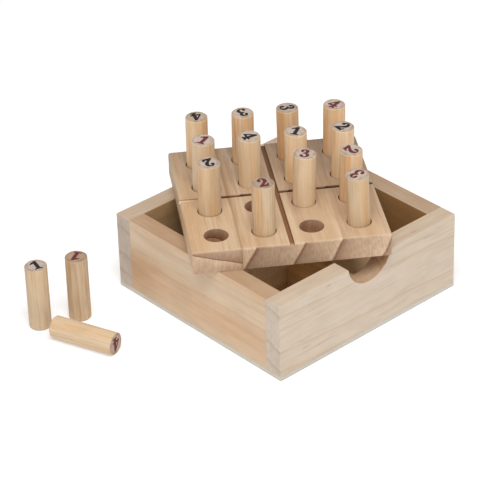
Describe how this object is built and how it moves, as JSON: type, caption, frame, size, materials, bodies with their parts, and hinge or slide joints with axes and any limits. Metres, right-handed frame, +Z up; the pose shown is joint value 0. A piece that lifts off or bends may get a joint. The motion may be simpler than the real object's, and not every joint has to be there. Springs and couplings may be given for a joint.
{
  "type": "number peg board game",
  "caption": "Open square wooden box with a grid peg board lying across its rim; round number pegs stand in the board's holes and lie beside the box.",
  "frame": {"origin": "middle of the box's underside, on the surface the box stands on", "axes": "+Z up; -Y out of the front wall, the one with the finger notch; +X to the right of someone who faces the notch"},
  "size_m": [0.1915, 0.1416, 0.0859],
  "materials": {
    "wall_wood": "bare sanded softwood, matt",
    "base_plywood": "bare pale plywood, matt",
    "divider_wood": "bare thin board, matt",
    "board_wood": "bare sanded softwood, matt",
    "peg_wood": "bare smooth dowel, matt",
    "black_print": "matt printing ink soaked into end grain",
    "red_print": "matt printing ink soaked into end grain"
  },
  "bodies": {
    "box": {"base_panel": "base_plywood", "front_wall": "wall_wood", "back_wall": "wall_wood", "left_wall": "wall_wood", "right_wall": "wall_wood", "divider_side_to_side": "divider_wood", "divider_front_to_back": "divider_wood"},
    "peg_board": {"board_narrow_stave": "board_wood", "board_wide_stave": "board_wood"},
    "peg_black_4_a": {"peg_black_4_a": "peg_wood"},
    "peg_black_3_a": {"peg_black_3_a": "peg_wood"},
    "peg_black_3_b": {"peg_black_3_b": "peg_wood"},
    "peg_red_4_a": {"peg_red_4_a": "peg_wood"},
    "peg_red_1_a": {"peg_red_1_a": "peg_wood"},
    "peg_black_4_b": {"peg_black_4_b": "peg_wood"},
    "peg_black_1_a": {"peg_black_1_a": "peg_wood"},
    "peg_black_2_a": {"peg_black_2_a": "peg_wood"},
    "peg_black_2_b": {"peg_black_2_b": "peg_wood"},
    "peg_red_3_a": {"peg_red_3_a": "peg_wood"},
    "peg_red_2_a": {"peg_red_2_a": "peg_wood"},
    "peg_red_2_b": {"peg_red_2_b": "peg_wood"},
    "peg_red_3_b": {"peg_red_3_b": "peg_wood"},
    "peg_black_1_b": {"peg_black_1_b": "peg_wood"},
    "peg_red_1_b": {"peg_red_1_b": "peg_wood"},
    "peg_red_4_b": {"peg_red_4_b": "peg_wood"}
  },
  "joints": [
    {"name": "peg_board_lift", "type": "slide", "parent": "box", "child": "peg_board", "axis": [0, 0, 1], "range_m": [0, 0.03]},
    {"name": "peg_black_4_a_pull", "type": "slide", "parent": "peg_board", "child": "peg_black_4_a", "axis": [0, 0, 1], "range_m": [0, 0.012]},
    {"name": "peg_black_3_a_pull", "type": "slide", "parent": "peg_board", "child": "peg_black_3_a", "axis": [0, 0, 1], "range_m": [0, 0.012]},
    {"name": "peg_black_3_b_pull", "type": "slide", "parent": "peg_board", "child": "peg_black_3_b", "axis": [0, 0, 1], "range_m": [0, 0.012]},
    {"name": "peg_red_4_a_pull", "type": "slide", "parent": "peg_board", "child": "peg_red_4_a", "axis": [0, 0, 1], "range_m": [0, 0.012]},
    {"name": "peg_red_1_a_pull", "type": "slide", "parent": "peg_board", "child": "peg_red_1_a", "axis": [0, 0, 1], "range_m": [0, 0.012]},
    {"name": "peg_black_4_b_pull", "type": "slide", "parent": "peg_board", "child": "peg_black_4_b", "axis": [0, 0, 1], "range_m": [0, 0.012]},
    {"name": "peg_black_1_a_pull", "type": "slide", "parent": "peg_board", "child": "peg_black_1_a", "axis": [0, 0, 1], "range_m": [0, 0.012]},
    {"name": "peg_black_2_a_pull", "type": "slide", "parent": "peg_board", "child": "peg_black_2_a", "axis": [0, 0, 1], "range_m": [0, 0.012]},
    {"name": "peg_black_2_b_pull", "type": "slide", "parent": "peg_board", "child": "peg_black_2_b", "axis": [0, 0, 1], "range_m": [0, 0.012]},
    {"name": "peg_red_3_a_pull", "type": "slide", "parent": "peg_board", "child": "peg_red_3_a", "axis": [0, 0, 1], "range_m": [0, 0.012]},
    {"name": "peg_red_2_a_pull", "type": "slide", "parent": "peg_board", "child": "peg_red_2_a", "axis": [0, 0, 1], "range_m": [0, 0.012]},
    {"name": "peg_red_2_b_pull", "type": "slide", "parent": "peg_board", "child": "peg_red_2_b", "axis": [0, 0, 1], "range_m": [0, 0.012]},
    {"name": "peg_red_3_b_pull", "type": "slide", "parent": "peg_board", "child": "peg_red_3_b", "axis": [0, 0, 1], "range_m": [0, 0.012]},
    {"name": "peg_black_1_b_lift", "type": "slide", "parent": "box", "child": "peg_black_1_b", "axis": [0, 0, 1], "range_m": [0, 0.03]},
    {"name": "peg_red_1_b_lift", "type": "slide", "parent": "box", "child": "peg_red_1_b", "axis": [0, 0, 1], "range_m": [0, 0.03]},
    {"name": "peg_red_4_b_lift", "type": "slide", "parent": "box", "child": "peg_red_4_b", "axis": [0, 0, 1], "range_m": [0, 0.03]}
  ]
}
